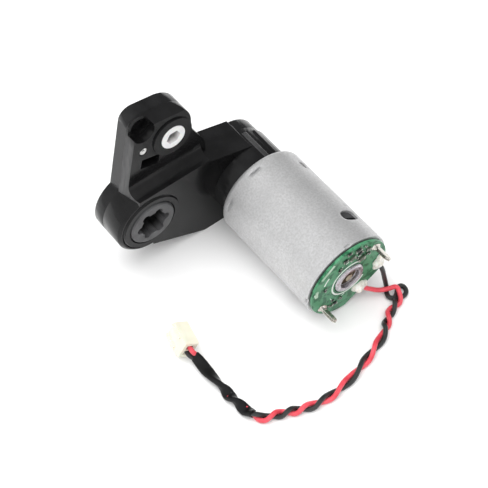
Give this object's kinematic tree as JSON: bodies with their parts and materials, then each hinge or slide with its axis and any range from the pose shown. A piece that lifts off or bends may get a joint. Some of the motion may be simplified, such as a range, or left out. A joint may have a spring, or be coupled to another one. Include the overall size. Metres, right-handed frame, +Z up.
{
  "type": "robot vacuum main brush motor",
  "caption": "Small gear motor with a plain steel can, a black gearbox with a raised mounting ear, a lobed drive socket and a twisted lead that ends in a plug.",
  "frame": {"origin": "centre of the drive socket's mouth, on the socket's front ring face", "axes": "+Y along every shaft, from the gearbox to the motor's terminals; +Z up, away from the surface that the gearbox foot and the can lie on; +X completes the frame"},
  "size_m": [0.0652, 0.0779, 0.0555],
  "materials": {
    "black_housing": "satin moulded plastic with soft gloss",
    "black_cover": "satin moulded plastic with soft gloss",
    "white_bush": "smooth self-lubricating plastic",
    "screw_steel": "zinc plated",
    "axle_steel": "ground",
    "pinion_brass": "cut",
    "gear_plastic": "moulded",
    "socket_plastic": "moulded",
    "can_steel": "satin plated with a faint mottle",
    "bearing_bronze": "oiled sintered bronze",
    "magnet_ferrite": "sintered ferrite",
    "core_steel": "stacked laminations",
    "winding_copper": "enamelled copper",
    "brush_carbon": "pressed carbon",
    "spring_brass": "spring strip",
    "cap_plastic": "moulded",
    "cup_steel": "pressed and plated",
    "board_green": "green solder mask",
    "tinned_terminal": "tinned",
    "joint_glue": "cured glue",
    "black_wire": "soft insulation",
    "red_wire": "soft insulation",
    "sleeve_black": "shrunk tubing",
    "plug_ivory": "moulded"
  },
  "bodies": {
    "housing": {"gearbox_housing": "black_housing", "gearbox_cover": "black_cover", "ear_bush": "white_bush", "cover_screws": "screw_steel", "motor_screws": "screw_steel", "gear_axles": "axle_steel", "motor_can": "can_steel", "front_bearing": "bearing_bronze", "magnet_north": "magnet_ferrite", "magnet_south": "magnet_ferrite", "magnet_clip": "axle_steel", "brush_positive": "brush_carbon", "brush_negative": "brush_carbon", "brush_arm_positive": "spring_brass", "brush_arm_negative": "spring_brass", "end_cap": "cap_plastic", "rear_bearing_cup": "cup_steel", "rear_bearing": "bearing_bronze", "circuit_board": "board_green", "terminal_positive": "tinned_terminal", "terminal_negative": "tinned_terminal", "black_joint": "joint_glue", "red_joint": "joint_glue", "black_lead": "black_wire", "red_lead": "red_wire", "twisted_pair": "red_wire", "shrink_sleeve": "sleeve_black", "black_tail": "black_wire", "red_tail": "red_wire", "plug_housing": "plug_ivory", "plug_contacts": "tinned_terminal"},
    "rotor": {"motor_shaft": "axle_steel", "armature_core": "core_steel", "armature_windings": "winding_copper", "commutator": "winding_copper", "motor_pinion": "pinion_brass", "shaft_spacer": "gear_plastic"},
    "first_stage": {"first_gear": "gear_plastic"},
    "second_stage": {"second_gear": "gear_plastic"},
    "output": {"output_gear": "socket_plastic"}
  },
  "joints": [
    {"name": "rotor_spin", "type": "hinge", "parent": "housing", "child": "rotor", "pos_m": [-0.03335, 0, -0.0058], "axis": [0, 1, 0], "continuous": true},
    {"name": "first_stage_spin", "type": "hinge", "parent": "housing", "child": "first_stage", "pos_m": [-0.02138, 0, -0.00663], "axis": [0, 1, 0], "continuous": true},
    {"name": "second_stage_spin", "type": "hinge", "parent": "housing", "child": "second_stage", "pos_m": [-0.01197, 0, 0.00083], "axis": [0, 1, 0], "continuous": true},
    {"name": "output_spin", "type": "hinge", "parent": "housing", "child": "output", "pos_m": [0, 0, 0], "axis": [0, 1, 0], "continuous": true}
  ],
  "couplings": [
    {"joint": "first_stage_spin", "follows": "rotor_spin", "ratio": -0.33333},
    {"joint": "second_stage_spin", "follows": "rotor_spin", "ratio": 0.14286},
    {"joint": "output_spin", "follows": "rotor_spin", "ratio": -0.061224}
  ]
}
